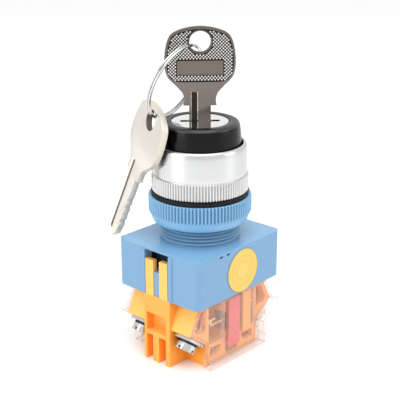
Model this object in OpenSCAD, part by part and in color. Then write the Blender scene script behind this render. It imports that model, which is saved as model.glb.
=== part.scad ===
// Key-operated selector switch: round key head on a threaded neck, square base,
// and two clip-on contact blocks, one normally closed and one normally open.
// +Z runs up the head's axis. The origin is on that axis, on the plane that the
// contact blocks stand on. X runs along the longer side of the base.

/* [Base] */
// Length of the base along X, between the end faces
base_x = 37.9; // [37:0.1:40]
// Width of the base along Y
base_y = 32.2; // [31.6:0.1:34]
// Height of the base
base_h = 14.8; // [14:0.1:16]
// Radius of the base's upright corners
base_corner = 2; // [1:0.25:3]
// How far the end guide ribs stand out of the end faces
guide_proud = 0.65; // [0.3:0.05:0.8]

/* [Neck and nut] */
// Crest radius of the neck's thread
neck_r = 12.2; // [12:0.05:12.25]
// Bore radius of the neck
neck_bore_r = 10; // [9.9:0.05:10.2]
// Pitch of the neck's thread
neck_pitch = 1.1; // [1:0.05:1.25]
// Outer radius of the ring nut
nut_r = 15.45; // [15:0.05:16]
// Travel of the ring nut down the neck, which is the thickest panel it clamps
nut_travel = 4.5; // [2:0.5:5]
// Outer radius of the panel gasket
gasket_r = 14.6; // [14.4:0.05:15]
// Thickness of the panel gasket
gasket_t = 1.32; // [1:0.01:1.5]

/* [Head] */
// Radius of the bezel's fluted skirt
bezel_r = 14.45; // [14.2:0.05:14.8]
// Radius of the bezel's bore round the collar
bezel_bore_r = 12.8; // [12.7:0.05:13]
// Radius of the collar's top edge
collar_top_r = 11.7; // [11:0.1:12]
// Radius of the opening in the collar's top
collar_hole_r = 8.65; // [8.6:0.05:8.8]
// Radius of the polished face disc
disc_r = 8.4; // [8:0.05:8.5]
// Radius of the lock's rotor
plug_r = 6.25; // [6:0.05:6.5]
// Turn between the two switch positions, in degrees
key_turn = 90; // [60:5:90]

/* [Keys] */
// Thickness of a key
key_t = 2; // [1.8:0.1:2.1]
// Length of a key's blade under the shoulder
blade_len = 22.4; // [20:0.1:22.6]
// Half the width of a key's blade
blade_half = 3.1; // [2.8:0.05:3.2]
// Radius of the hole in a key's bow
bow_hole_r = 3.1; // [3:0.05:3.3]

/* [Contact blocks] */
// Height of a contact block
block_h = 21.4; // [21:0.1:22]
// Thickness of one contact block, split plane to outer face of its cover
block_t = 16; // [15.8:0.1:16]
// Depth of the clear cover
cover_t = 3.2; // [3:0.1:3.4]
// Wall thickness of the blocks
wall = 1.2; // [1:0.1:1.4]
// Travel of the contact plungers
push = 2.2; // [1.8:0.1:2.2]
// Angle of the terminal seats from the horizontal, in degrees
seat_angle = 38; // [36:1:40]

/* [Hidden] */
$fn = 64;
eps = 0.05;

// heights up the axis
base_z = block_h;
base_top = base_z + base_h;
nut_top = base_top + 13.25;
nut_h = 7.8;
bezel_z = nut_top + gasket_t;
neck_top = base_top + 21.2;
flange_t = 2;
collar_z = neck_top + flange_t;
bezel_top = base_top + 29.1;
collar_top = base_top + 35.4;
disc_top = collar_top - 0.2;
disc_t = 1.4;
shoulder_z = disc_top + 4.8;
shank_end = 18.5;
bow_hole_z = shoulder_z + shank_end;

// base
cavity_r = 13.6;
cavity_top = base_z + 12;
guide_y = [4.75, 6.1];
channel_x = 16.6;
channel_top = base_top - 0.6;
latch_wall = 14.6;
chamber_floor = 6.6;
middle_rib = [0.9, 1.3];
middle_rib_h = 7.8;
peg_hole_x = [-8.7, -5.6];
thread_depth = 0.6;
thread_turns = 11;

// lock
shell_r = neck_bore_r - 0.1;
shell_z = base_z + 22.6;
plug_gap = 0.05;
key_dir = -45;
keyway = [2.3, 6.8];
keyway_end = shoulder_z - blade_len - 0.6;
wafer_count = 5;
wafer_z0 = keyway_end + 2;
wafer_step = 2.6;
wafer_t = 0.9;
wafer_w = 4.4;
wafer_window = [2.6, 8.4];
wafer_spring_y = 3.7;
mark_from = 3.6;
mark_to = 5.7;
mark_w = 1.15;
mark_depth = 0.4;
tail = 6;
tail_z = base_z + 3.9;

// cam
cam_r = 12.8;
cam_z = base_z + 8.2;
cam_t = 3.2;
hub_r = 5.4;
ramp_in = 8.6;
ramp_out = 12.6;
ramp_step = 6;
ramp_gap = 0.5;
detent_dir = 135;
detent_r = 1.5;
detent_at = cam_r + 1.2;
detent_z = cam_z + cam_t / 2;
detent_seat = 21;

// contact blocks, in a block's own frame: depth w runs out of the split plane
fin_t = 5.2;
body_w = block_t - cover_t;
fin_x = base_x / 2 + guide_proud - 0.35;
roof_top_x = 14.3;
roof_tip = [18.7, 12.3];
lower_x = 11.8;
cavity_x = 10.4;
seat_at = [14.7, 9.4];
bay_w = (fin_t + body_w) / 2;
cover_ribs = [-5.6, 8.4];
bay_window = [[11.8, 18.6], [14.1, 18.6], [16.7, 13.3], [15.6, 12], [11.8, 12]];
post_w = [9.4, 12];
post_half = 1.6;
plunger_top = cam_z - ramp_gap - 0.5;
plunger_half = 2.45;
guide_x = [2.7, 3.6];
plunger_w = [8.6, 14.2];
plunger_z = 3.4;
plunger_body_top = block_h - wall - 0.9;
spring_w = 11.1;
window_z = [9.2, 14.4];
bar_w = [9.6, 12.6];
bar_half = 9.6;
bar_t = 0.6;
tip_x = 8.5;
tip_r = 1.1;
tip_t = 0.45;
strip_t = 0.8;
nc_bar_z = 12.4;
no_bar_z = 11.2;
contact_gap = 0.06;

// spare key and its ring
spare_hole = [-11.47, 7.66, base_top + 36.18];
spare_azimuth = 157.7;
spare_lean = 12.8;
spare_roll = 18;
ring_in_key = [-0.62, 0.82, base_top + 57];
ring_in_spare = [-11.72, 7.13, base_top + 37.54];
ring_azimuth = 97.75;
ring_elevation = 21.7;
ring_half_radial = 0.5;
ring_half_axial = 0.7;
ring_centre = (ring_in_key + ring_in_spare) / 2;
ring_r = norm(ring_in_key - ring_in_spare) / 2;

// finish colours
blue = [0.53, 0.71, 0.88];
orange = [1, 0.72, 0.35];
clear_tint = [0.98, 0.9, 0.85, 0.4];
red = [0.9, 0.45, 0.45];
green = [0.3, 0.62, 0.4];
black = [0.15, 0.15, 0.15];
steel = [0.75, 0.75, 0.77];
nickel = [0.62, 0.6, 0.56];
brass = [0.78, 0.66, 0.4];
silver = [0.86, 0.86, 0.84];

// ---- shared shapes ----

// Tube or disc about Z between two heights
module ring(r_out, r_in, z_from, z_to) {
    translate([0, 0, z_from])
        difference() {
            cylinder(r = r_out, h = z_to - z_from);
            if (r_in > 0)
                translate([0, 0, -1]) cylinder(r = r_in, h = z_to - z_from + 2);
        }
}

// Box given by its lowest and highest corner
module span(low, high) {
    translate(low) cube(high - low);
}

// Upright bar with round corners, centred on the axis
module rounded_bar(x, y, r, z_from, z_to) {
    translate([0, 0, z_from]) {
        span([-x / 2 + r, -y / 2, 0], [x / 2 - r, y / 2, z_to - z_from]);
        span([-x / 2, -y / 2 + r, 0], [x / 2, y / 2 - r, z_to - z_from]);
        for (sx = [-1, 1], sy = [-1, 1])
            translate([sx * (x / 2 - r), sy * (y / 2 - r), 0])
                cylinder(r = r, h = z_to - z_from);
    }
}

// Points round one ring of a coiled wire, at turn angle a
function coil_ring(a, r, pitch, wire, lift, sides) = [
    for (i = [0 : sides - 1])
        let (b = 360 * i / sides, q = r + wire * cos(b))
        [q * cos(a), q * sin(a), lift + pitch * a / 360 + wire * sin(b)]
];

// Open coil spring about Z; wire is the wire's radius
module coil(r, turns, h, wire, per_turn = 14, sides = 6) {
    steps = ceil(turns * per_turn);
    pitch = (h - 2 * wire) / turns;
    rings = [for (s = [0 : steps])
        coil_ring(360 * turns * s / steps, r - wire, pitch, wire, wire, sides)];
    points = [for (q = rings) for (p = q) p];
    sides_faces = [for (s = [0 : steps - 1]) for (i = [0 : sides - 1])
        let (j = (i + 1) % sides, a = s * sides, b = a + sides)
        [a + i, b + i, b + j, a + j]];
    start = [[for (i = [0 : sides - 1]) i]];
    finish = [[for (i = [sides - 1 : -1 : 0]) steps * sides + i]];
    polyhedron(points, concat(sides_faces, start, finish), convexity = 6);
}

// ---- base, nut and head ----

module thread_ridges(r, z_from, count) {
    for (i = [0 : count - 1])
        translate([0, 0, z_from + i * neck_pitch])
            rotate_extrude($fn = 96)
                polygon([[r - thread_depth - 0.2, -0.5 * neck_pitch],
                         [r - thread_depth, -0.45 * neck_pitch],
                         [r, -0.08 * neck_pitch], [r, 0.08 * neck_pitch],
                         [r - thread_depth, 0.45 * neck_pitch],
                         [r - thread_depth - 0.2, 0.5 * neck_pitch]]);
}

// Guide ribs, latch channel and middle rib of the end that faces -X
module end_channel_cut() {
    span([-base_x / 2 - 2, -guide_y[0], base_z - 1],
         [-channel_x, guide_y[0], channel_top]);
}

module end_ribs() {
    for (s = [-1, 1])
        span([-fin_x, s > 0 ? guide_y[0] : -guide_y[1], base_z],
             [-base_x / 2 + 1, s > 0 ? guide_y[1] : -guide_y[0], base_top - 0.8]);
    span([-fin_x + 0.4, -middle_rib[0], base_z],
         [-channel_x + 1, middle_rib[1], base_z + middle_rib_h]);
}

module base_housing() {
    color(blue)
    difference() {
        union() {
            difference() {
                rounded_bar(base_x, base_y, base_corner, base_z, base_top);
                for (a = [0, 180]) rotate([0, 0, a]) end_channel_cut();
            }
            for (a = [0, 180]) rotate([0, 0, a]) end_ribs();
            ring(neck_r - thread_depth, 0, base_top - 1, nut_top - 0.5);
            ring(neck_r, 0, nut_top - 0.5, neck_top);
            thread_ridges(neck_r, base_top + 0.8, thread_turns);
        }
        translate([0, 0, base_z - 1]) cylinder(r = cavity_r, h = cavity_top - base_z + 1);
        translate([0, 0, cavity_top - 1]) cylinder(r = neck_bore_r, h = 40);
        detent_bore();
        for (a = [0, 180])
            rotate([0, 0, a])
                span([-base_x / 2 - 1, -4.4, base_top - 6.5], [-latch_wall, 4.4, channel_top]);
        for (x = peg_hole_x)
            span([x - 0.8, -base_y / 2 - 1, base_top - 1.2], [x + 0.8, -base_y / 2 + 1, base_top - 0.6]);
    }
}

module detent_bore() {
    rotate([0, 0, detent_dir]) translate([cavity_r - 1, 0, detent_z])
        rotate([0, 90, 0]) cylinder(r = detent_r + eps, h = detent_seat - cavity_r + 1);
}

module ring_nut() {
    color(blue)
    difference() {
        translate([0, 0, nut_top - nut_h])
            rotate_extrude($fn = 128)
                polygon([[0, 0], [nut_r - 1.35, 0], [nut_r - 1.05, 0.35], [nut_r - 0.25, 2.5],
                         [nut_r, 2.55], [nut_r, nut_h - 0.2], [nut_r - 0.2, nut_h], [0, nut_h]]);
        translate([0, 0, nut_top - nut_h - 1])
            cylinder(r = neck_r + 0.1, h = nut_h + 2, $fn = 96);
    }
}

module gasket() {
    color(black) ring(gasket_r, neck_r + 0.1, nut_top, bezel_z, $fn = 96);
}

module bezel() {
    h = bezel_top - bezel_z;
    skirt = 5.23;
    color(silver)
    difference() {
        translate([0, 0, bezel_z])
            rotate_extrude($fn = 128)
                polygon([[0, 0], [bezel_r, 0], [bezel_r, skirt], [bezel_r - 0.3, skirt + 0.2],
                         [bezel_r - 0.55, h - 1], [bezel_r - 0.75, h - 0.45],
                         [bezel_r - 1.2, h], [0, h]]);
        translate([0, 0, bezel_z - 1]) cylinder(r = neck_r, h = 20, $fn = 96);
        translate([0, 0, neck_top]) cylinder(r = bezel_bore_r, h = 20, $fn = 96);
    }
}

module lock_collar() {
    color(black)
    difference() {
        translate([0, 0, collar_z])
            rotate_extrude($fn = 128)
                polygon([[0, 0], [bezel_bore_r - 0.35, 0],
                         [bezel_bore_r - 0.5, bezel_top - collar_z],
                         [collar_top_r, collar_top - collar_z - 0.6],
                         [collar_top_r - 0.2, collar_top - collar_z - 0.17],
                         [collar_top_r - 0.6, collar_top - collar_z],
                         [0, collar_top - collar_z]]);
        translate([0, 0, collar_z - 1])
            cylinder(r = shell_r, h = disc_top - disc_t - collar_z + 0.8);
        translate([0, 0, collar_z]) cylinder(r = collar_hole_r, h = 20, $fn = 96);
    }
}

module lock_shell() {
    top = disc_top - disc_t - 0.2;
    color(nickel)
    difference() {
        union() {
            ring(shell_r, 0, shell_z, top);
            ring(neck_r - 0.2, 0, neck_top, collar_z);
        }
        translate([0, 0, shell_z - 1]) cylinder(r = plug_r + plug_gap, h = top - shell_z + 2);
        for (a = [0, 90])
            rotate([0, 0, key_dir + a])
                span([-plug_r - 1.3, -wafer_w / 2 - 0.2, wafer_z0 - 1],
                     [plug_r + 1.3, wafer_w / 2 + 0.2,
                      wafer_z0 + wafer_step * wafer_count]);
    }
}

module shell_ring() {
    color(brass) ring(neck_bore_r, plug_r + 0.8, shell_z - 2.4, shell_z);
}

module round_label() {
    color([0.98, 0.87, 0.42])
        translate([1, -base_y / 2, base_z + 6.9])
            rotate([90, 0, 0]) cylinder(r = 6.95, h = 0.15, $fn = 96);
}

// ---- lock rotor and cam ----

module rotor_plug() {
    top = disc_top - disc_t;
    color(brass)
    difference() {
        union() {
            ring(plug_r, 0, shell_z + 0.4, top);
            span([-tail / 2, -tail / 2, tail_z + 0.3], [tail / 2, tail / 2, shell_z + 1]);
        }
        rotate([0, 0, key_dir]) {
            span([-keyway[1] / 2, -keyway[0] / 2, keyway_end], [keyway[1] / 2, keyway[0] / 2, top + 1]);
            for (i = [0 : wafer_count - 1])
                translate([0, 0, wafer_z0 + i * wafer_step]) {
                    span([-plug_r - 1, -wafer_w / 2 - 0.1, -0.1],
                         [plug_r + 1, wafer_w / 2 + 0.1, wafer_t + 0.1]);
                    span([-2.8, 0, -0.1], [2.6, wafer_spring_y + 0.7, wafer_t + 0.1]);
                }
        }
        translate([0, 0, tail_z]) cylinder(r = 1.25, h = 9);
    }
}

module face_disc() {
    color(silver)
    difference() {
        ring(disc_r, 0, disc_top - disc_t, disc_top, $fn = 96);
        rotate([0, 0, key_dir]) {
            span([-keyway[1] / 2, -keyway[0] / 2, disc_top - 3], [keyway[1] / 2, keyway[0] / 2, disc_top + 1]);
            for (s = [-1, 1]) mark(s, 1);
        }
    }
}

module mark(side, extra = 0) {
    span([side > 0 ? mark_from : -mark_to, -mark_w / 2, disc_top - mark_depth],
         [side > 0 ? mark_to : -mark_from, mark_w / 2, disc_top + extra]);
}

module indicator_marks() {
    color(black) rotate([0, 0, key_dir]) for (s = [-1, 1]) mark(s);
}

module lock_wafers() {
    color(brass)
    rotate([0, 0, key_dir])
        for (i = [0 : wafer_count - 1])
            translate([0, 0, wafer_z0 + i * wafer_step])
                intersection() {
                    difference() {
                        union() {
                            span([-plug_r, -wafer_w / 2, 0], [plug_r, wafer_w / 2, wafer_t]);
                            span([0.4, 0, 0], [1.6, wafer_spring_y + 0.5, wafer_t]);
                        }
                        span([-wafer_window[1] / 2, -wafer_window[0] / 2, -1],
                             [wafer_window[1] / 2, wafer_window[0] / 2, 2]);
                    }
                    translate([0, 0, -1]) cylinder(r = plug_r - 0.03, h = 3);
                }
}

module wafer_springs() {
    color(steel)
    rotate([0, 0, key_dir])
        for (i = [0 : wafer_count - 1])
            translate([-2.7, wafer_spring_y, wafer_z0 + i * wafer_step + wafer_t / 2])
                rotate([0, 90, 0]) coil(0.45, 4, 3, 0.1, per_turn = 8, sides = 4);
}

// Section of a cam ramp at turn a past its start: inner top, outer top, outer bottom, inner bottom
function ramp_section(a) =
    let (top = cam_z + 0.5,
         bottom = cam_z - ramp_gap - push * min(max(a / key_turn, 0), 1),
         inner = ramp_in * [cos(a), sin(a)], outer = ramp_out * [cos(a), sin(a)])
    [[inner[0], inner[1], top], [outer[0], outer[1], top],
     [outer[0], outer[1], bottom], [inner[0], inner[1], bottom]];

// Ramp under the cam, deeper with the turn past direction
module ramp(direction) {
    steps = (key_turn + 18) / ramp_step;
    points = [for (i = [0 : steps]) for (p = ramp_section(i * ramp_step - 9)) p];
    sides = [for (i = [0 : steps - 1]) for (k = [0 : 3])
        let (a = 4 * i + k, b = 4 * i + (k + 1) % 4)
        each [[a, b + 4, b], [a, a + 4, b + 4]]];
    last = 4 * steps;
    rotate([0, 0, direction])
        polyhedron(points, concat(sides, [[0, 1, 2, 3], [last + 3, last + 2, last + 1, last]]));
}

module cam_drum() {
    color([0.9, 0.9, 0.88])
    difference() {
        union() {
            ring(cam_r, 0, cam_z, cam_z + cam_t, $fn = 96);
            ring(hub_r, 0, tail_z, cam_z + 1);
            for (d = [-90, 90]) ramp(d);
        }
        span([-tail / 2 - eps, -tail / 2 - eps, tail_z - 1], [tail / 2 + eps, tail / 2 + eps, cam_z + 6]);
        translate([0, 0, detent_z])
            rotate_extrude($fn = 96)
                polygon([[cam_r - 0.5, -0.55], [cam_r + 1, -2.05], [cam_r + 1, 2.05],
                         [cam_r - 0.5, 0.55]]);
        for (a = [0, key_turn])
            rotate([0, 0, detent_dir + a]) translate([detent_at, 0, cam_z - 1])
                cylinder(r = detent_r + 0.45, h = cam_t + 2, $fn = 48);
    }
}

module cam_washer() {
    color(steel) ring(4.4, 1.3, tail_z - 0.5, tail_z);
}

module cam_screw() {
    color(steel)
    difference() {
        union() {
            ring(2.7, 0, tail_z - 2.5, tail_z - 0.5);
            ring(1.25, 0, tail_z - 0.6, tail_z + 8);
        }
        span([-3, -0.4, tail_z - 3], [3, 0.4, tail_z - 1.6]);
    }
}

module detent_ball() {
    color(steel)
        rotate([0, 0, detent_dir]) translate([detent_at, 0, detent_z])
            sphere(r = detent_r, $fn = 32);
}

module detent_spring() {
    color(steel)
        rotate([0, 0, detent_dir]) translate([detent_at + detent_r, 0, detent_z])
            rotate([0, 90, 0]) coil(1.3, 6, detent_seat - detent_at - detent_r, 0.2, per_turn = 12);
}

// ---- keys ----

// Outline of a key's bow about its hole
module bow_outline() {
    intersection() {
        translate([0, -13.7]) circle(r = 18, $fn = 128);
        translate([-9.75, -5.6]) circle(r = 20, $fn = 128);
        translate([9.75, -5.6]) circle(r = 20, $fn = 128);
        polygon([[-8, 6], [8, 6], [12, 0], [12, -8], [6, -13.5], [-6, -13.5], [-12, -8], [-12, 0]]);
    }
}

// Outline of the shank and blade below the bow
module shank_outline() {
    tip = -blade_len - shank_end;
    difference() {
        polygon([[-6.5, -12.5], [6.5, -12.5], [6.5, -shank_end], [blade_half, -shank_end],
                 [blade_half, tip + 2.1], [0.6, tip], [-0.4, tip], [-blade_half, tip + 1.9],
                 [-blade_half, -shank_end], [-6.5, -shank_end]]);
        for (s = [-1, 1]) translate([s * 9.1, -17]) circle(r = 4.55, $fn = 48);
    }
}

// Notch in the blade's cut edge, centred on one wafer
module bit_cut(z, depth) {
    translate([blade_half - depth, z])
        polygon([[0, -0.55], [0, 0.55], [depth + 1, 1.3 + depth], [depth + 1, -1.3 - depth]]);
}

module key() {
    cuts = [0.8, 1.3, 0.5, 1.1, 0.7];
    groove_top = 3.9 - shank_end;
    groove_foot = -blade_len - shank_end - 0.5;
    rotate([90, 0, 0]) translate([0, 0, -key_t / 2])
        difference() {
            union() {
                linear_extrude(key_t) bow_outline();
                linear_extrude(key_t) shank_outline();
            }
            for (i = [0 : wafer_count - 1])
                translate([0, 0, -1]) linear_extrude(key_t + 2)
                    bit_cut(wafer_z0 + i * wafer_step + wafer_t / 2 - bow_hole_z, cuts[i]);
            translate([0, 0, -1]) cylinder(r = bow_hole_r, h = key_t + 2);
            span([-2.45, groove_foot, key_t - 0.55], [-0.85, groove_top, key_t + 1]);
            span([-0.6, groove_foot, -1], [1.1, groove_top, 0.5]);
        }
}

module inserted_key() {
    color(nickel) translate([0, 0, bow_hole_z]) rotate([0, 0, key_dir]) key();
}

module spare_key() {
    color([0.9, 0.87, 0.8])
        translate(spare_hole)
            rotate([0, 0, spare_azimuth + 90]) rotate([-spare_lean, 0, 0]) rotate([0, spare_roll, 0])
                key();
}

module key_ring() {
    color(silver)
        translate(ring_centre) rotate([0, 90 - ring_elevation, ring_azimuth])
            rotate_extrude($fn = 96)
                polygon([for (p = [[-1, -0.8], [-0.8, -1], [0.8, -1], [1, -0.8], [1, -0.12], [0.7, 0],
                                   [1, 0.12], [1, 0.8], [0.8, 1], [-0.8, 1], [-1, 0.8], [-1, 0.12],
                                   [-0.7, 0], [-1, -0.12]])
                         [ring_r + p[0] * ring_half_radial, p[1] * ring_half_axial]]);
}

// ---- contact blocks; place() turns a block frame (x, z, depth w) into the part's frame ----

module place(side) {
    rotate([0, 0, side > 0 ? 180 : 0]) rotate([90, 0, 0]) children();
}

// Box in a block frame: x range, z range and depth range
module slab(x, z, w) {
    span([x[0], z[0], w[0]], [x[1], z[1], w[1]]);
}

// Frame of a terminal seat: local X along the seat, local Y out of it
module at_seat(s) {
    mirror([s < 0 ? 1 : 0, 0, 0])
        translate([seat_at[0], seat_at[1], bay_w])
            rotate([0, 0, seat_angle]) mirror([0, 1, 0]) children();
}

module body_profile() {
    seat_dir = [cos(seat_angle), sin(seat_angle)];
    lip = seat_at + 4 * seat_dir;
    foot_z = seat_at[1] - (seat_at[0] - lower_x) * tan(seat_angle);
    half = [[roof_top_x, block_h], roof_tip, lip, [lower_x, foot_z], [lower_x, 0]];
    polygon(concat(half, [for (i = [len(half) - 1 : -1 : 0]) [-half[i][0], half[i][1]]]));
}

module cover_profile(inset) {
    half = inset == 0
        ? [[15, block_h], [17.7, 15.5], [19.2, 13], [17.4, 11.4], [12, 7.3], [12, 3.2], [12.9, 3.2],
           [12.9, 0]]
        : [[14.1, block_h - 1], [16.8, 15], [17.9, 13], [16.8, 12.1], [11, 7.8], [11, 1]];
    polygon(concat(half, [for (i = [len(half) - 1 : -1 : 0]) [-half[i][0], half[i][1]]]));
}

// Pocket and lower slot in the end of the central fin
module fin_pockets(s, rib, side_wall) {
    x = s > 0 ? [fin_x - 2.7, fin_x + 1] : [-fin_x - 1, -fin_x + 2.7];
    slab(x, [9.7, 15.7], [-1, fin_t - side_wall]);
    slab(x, [-1, 8.5], [rib, fin_t - side_wall]);
}

// Contact strip from the moving tip to the terminal plate, on the end given by s
module strip(s, z, grow = 0) {
    x_far = 11.2;
    mirror([s < 0 ? 1 : 0, 0, 0]) {
        slab([tip_x - 1.3 - grow, x_far + grow], [z - grow, z + strip_t + grow],
             [bar_w[0] - grow, bar_w[1] + grow]);
        slab([x_far - strip_t - grow, x_far + grow], [6.9 - grow, z + strip_t + grow],
             [bar_w[0] - grow, bar_w[1] + grow]);
    }
    at_seat(s)
        difference() {
            span([-4.4 - grow, -1 - grow, -3.3 - grow], [3.2 + grow, grow, 3.3 + grow]);
            if (grow == 0) rotate([90, 0, 0]) cylinder(r = 1.45, h = 9, center = true);
        }
}

// Blocks that floor the contact chambers, each with a shallow recess in its front
module chamber_floors() {
    for (s = [-1, 1])
        mirror([s < 0 ? 1 : 0, 0, 0])
            difference() {
                slab([guide_x[0] + 0.3, cavity_x + 0.3], [wall - 0.3, chamber_floor], [wall - 0.3, body_w]);
                translate([0, 0, body_w - 1.6]) linear_extrude(3)
                    polygon([[4.8, 5.2], [9.6, 5.4], [9.9, 2.6], [6.6, 2.1], [4.9, 3.6]]);
            }
}

// Guide walls beside the plunger, slotted for the bridge
module plunger_guides() {
    for (s = [-1, 1])
        difference() {
            slab(s > 0 ? guide_x : [-guide_x[1], -guide_x[0]],
                 [wall - 0.5, block_h - wall], [wall - 0.5, body_w]);
            slab([-5, 5], [window_z[0] - 0.6, window_z[1] + 0.6],
                 [bar_w[0] - 0.6, body_w + 1]);
        }
}

module block_housing(strip_z) {
    color(orange) {
        block_shell(strip_z);
        plunger_guides();
        chamber_floors();
        slab([4.6, 8.2], [chamber_floor - 1, block_h - 1.6], [body_w - 0.12, body_w + 0.8]);
    }
}

module block_shell(strip_z) {
    difference() {
        union() {
            slab([-fin_x, fin_x], [0, block_h], [0, fin_t]);
            translate([0, 0, fin_t - 0.1]) linear_extrude(body_w - fin_t + 0.1) body_profile();
            slab([-fin_x + 0.15, -fin_x + 1.75], [block_h - 1, base_top - 3.2], [1, 4.3]);
            slab([fin_x - 1.75, fin_x - 0.15], [block_h - 1, base_top - 3.5], [1.4, 4.6]);
        }
        fin_pockets(-1, 0.7, 1.6);
        fin_pockets(1, 1.7, 0.9);
        slab([-cavity_x, cavity_x], [wall, block_h - wall - 0.3], [wall, body_w + 1]);
        for (s = [-1, 1]) {
            mirror([s < 0 ? 1 : 0, 0, 0])
                translate([0, 0, fin_t + 1]) linear_extrude(body_w) polygon(bay_window);
            strip(s, strip_z, 0.05);
            at_seat(s) translate([0, -6.5, 0]) rotate([-90, 0, 0]) cylinder(r = 1.6, h = 8);
        }
        slab([-post_half - 0.3, post_half + 0.3], [block_h - 2, block_h + 1],
             [post_w[0] - 0.3, post_w[1] + 0.3]);
    }
}

module block_cover() {
    color(clear_tint) {
        difference() {
            translate([0, 0, body_w]) linear_extrude(cover_t) cover_profile(0);
            translate([0, 0, body_w - 1]) linear_extrude(cover_t) cover_profile(1);
        }
        for (x = cover_ribs)
            slab([x, x + 1.9], [6, block_h - 1.6], [body_w + 0.2, body_w + cover_t - 0.5]);
    }
}

module plunger() {
    difference() {
        union() {
            slab([-plunger_half, plunger_half], [plunger_z, plunger_body_top], plunger_w);
            slab([-post_half, post_half], [plunger_body_top - 1, plunger_top - 0.6], post_w);
            slab([-0.9, 0.9], [plunger_top - 1, plunger_top], post_w);
        }
        slab([-4, 4], window_z, [bar_w[0] - 0.4, bar_w[1] + 0.4]);
        translate([0, plunger_z - 1, spring_w]) rotate([-90, 0, 0]) cylinder(r = 1.95, h = 6);
    }
}

module bridge(z) {
    slab([-bar_half, bar_half], [z, z + bar_t], bar_w);
}

// Two contact tips at height z in a block frame
module tips(z) {
    for (s = [-1, 1])
        translate([s * tip_x, z, (bar_w[0] + bar_w[1]) / 2])
            rotate([-90, 0, 0]) cylinder(r = tip_r, h = tip_t);
}

module block_coil(r, turns, z_from, z_to, wire) {
    translate([0, z_from, spring_w]) rotate([-90, 0, 0]) coil(r, turns, z_to - z_from, wire);
}

nc_strip_z = nc_bar_z + bar_t + 2 * tip_t + contact_gap;
no_strip_z = no_bar_z - 2 * tip_t - push - contact_gap - strip_t;

module nc_housing() place(-1) block_housing(nc_strip_z);
module no_housing() place(1) block_housing(no_strip_z);
module nc_cover() place(-1) block_cover();
module no_cover() place(1) block_cover();
module nc_plunger() color(red) place(-1) plunger();
module no_plunger() color(green) place(1) plunger();
module nc_bridge() color(brass) place(-1) bridge(nc_bar_z);
module no_bridge() color(brass) place(1) bridge(no_bar_z);
module nc_bridge_tips() color(silver) place(-1) tips(nc_bar_z + bar_t);
module no_bridge_tips() color(silver) place(1) tips(no_bar_z - tip_t);
module nc_fixed_tips() color(silver) place(-1) tips(nc_strip_z - tip_t);
module no_fixed_tips() color(silver) place(1) tips(no_strip_z + strip_t);

module nc_contact_spring() color(steel) place(-1) block_coil(1.4, 3, window_z[0], nc_bar_z, 0.2);
module no_contact_spring() color(steel) place(1) block_coil(1.4, 3, no_bar_z + bar_t, window_z[1], 0.2);
module nc_return_spring() color(steel) place(-1) block_coil(1.8, 6, wall, plunger_z + 5, 0.22);
module no_return_spring() color(steel) place(1) block_coil(1.8, 6, wall, plunger_z + 5, 0.22);

module nc_fixed_contacts() color(brass) place(-1) for (s = [-1, 1]) strip(s, nc_strip_z);
module no_fixed_contacts() color(brass) place(1) for (s = [-1, 1]) strip(s, no_strip_z);

// Runs its children at each of the four terminals
module each_terminal() {
    for (side = [-1, 1]) place(side) for (s = [-1, 1]) at_seat(s) children();
}

module clamp_plates() {
    color(steel) each_terminal()
        difference() {
            span([-3.3, 0, -3.5], [3.3, 1.1, 3.5]);
            rotate([90, 0, 0]) cylinder(r = 1.6, h = 4, center = true);
        }
}

module spring_washers() {
    color(steel) each_terminal()
        rotate([-90, 0, 0])
            difference() {
                translate([0, 0, 1.1]) cylinder(r = 3.1, h = 0.7);
                cylinder(r = 1.6, h = 3);
            }
}

module terminal_screws() {
    color(steel) each_terminal()
        difference() {
            rotate([-90, 0, 0]) {
                translate([0, 0, 1.8]) cylinder(r = 3.1, h = 2.2);
                translate([0, 0, -3.5]) cylinder(r = 1.45, h = 5.5);
            }
            span([-4, 3, -0.4], [4, 5, 0.4]);
            span([-0.4, 3, -4], [0.4, 5, 4]);
        }
}

base_housing();
ring_nut();
gasket();
bezel();
lock_collar();
lock_shell();
shell_ring();
rotor_plug();
face_disc();
indicator_marks();
lock_wafers();
wafer_springs();
cam_drum();
cam_washer();
cam_screw();
detent_ball();
detent_spring();
round_label();
inserted_key();
key_ring();
spare_key();
nc_housing();
no_housing();
nc_cover();
no_cover();
nc_plunger();
no_plunger();
nc_bridge();
no_bridge();
nc_bridge_tips();
no_bridge_tips();
nc_contact_spring();
no_contact_spring();
nc_return_spring();
no_return_spring();
nc_fixed_contacts();
no_fixed_contacts();
nc_fixed_tips();
no_fixed_tips();
clamp_plates();
spring_washers();
terminal_screws();
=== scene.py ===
"""Looks for the selector key switch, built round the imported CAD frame.

Lengths are millimetres in the CAD frame. Multiplying by MM turns them into metres.
"""
import math

import bmesh
import bpy
from mathutils import Matrix, Vector


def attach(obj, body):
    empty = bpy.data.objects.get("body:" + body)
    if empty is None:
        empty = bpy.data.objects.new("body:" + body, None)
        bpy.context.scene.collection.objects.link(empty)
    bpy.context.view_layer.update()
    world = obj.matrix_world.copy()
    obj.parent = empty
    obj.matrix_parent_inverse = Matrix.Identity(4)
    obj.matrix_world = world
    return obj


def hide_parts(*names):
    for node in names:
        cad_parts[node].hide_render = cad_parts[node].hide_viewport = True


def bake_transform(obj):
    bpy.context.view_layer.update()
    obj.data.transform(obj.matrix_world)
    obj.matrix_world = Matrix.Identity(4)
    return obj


MM = 0.001
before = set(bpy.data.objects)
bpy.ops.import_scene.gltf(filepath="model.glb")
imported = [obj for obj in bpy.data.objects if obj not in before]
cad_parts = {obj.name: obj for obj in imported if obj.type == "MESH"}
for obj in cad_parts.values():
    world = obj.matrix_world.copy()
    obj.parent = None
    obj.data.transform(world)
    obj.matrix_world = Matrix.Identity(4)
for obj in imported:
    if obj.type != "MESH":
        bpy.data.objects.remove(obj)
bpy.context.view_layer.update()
scene = bpy.context.scene
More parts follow.
